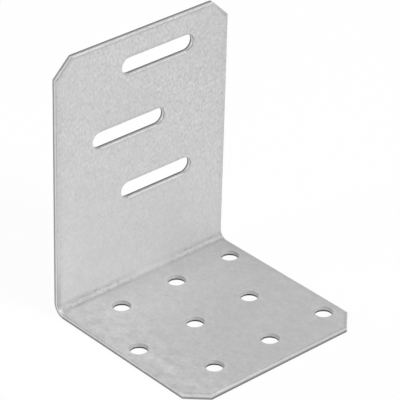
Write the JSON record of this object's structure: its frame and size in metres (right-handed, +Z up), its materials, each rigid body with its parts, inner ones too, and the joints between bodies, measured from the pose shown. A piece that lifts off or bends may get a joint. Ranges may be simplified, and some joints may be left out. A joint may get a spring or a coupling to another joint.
{
  "type": "adjustable angle bracket",
  "caption": "Angle bracket folded from one steel sheet, with staggered round screw holes in the base and staggered adjusting slots in the upright.",
  "frame": {"origin": "on the underside of the base, in the middle of the bracket's width and depth", "axes": "+Z up, away from the base; +X along the fold; the upright stands at the +Y side, and the inside of the angle looks towards -Y"},
  "size_m": [0.06, 0.06, 0.0801],
  "materials": {
    "galvanised_steel": "hot-dip galvanised, satin"
  },
  "bodies": {
    "root": {"angle_bracket": "galvanised_steel"}
  },
  "joints": []
}
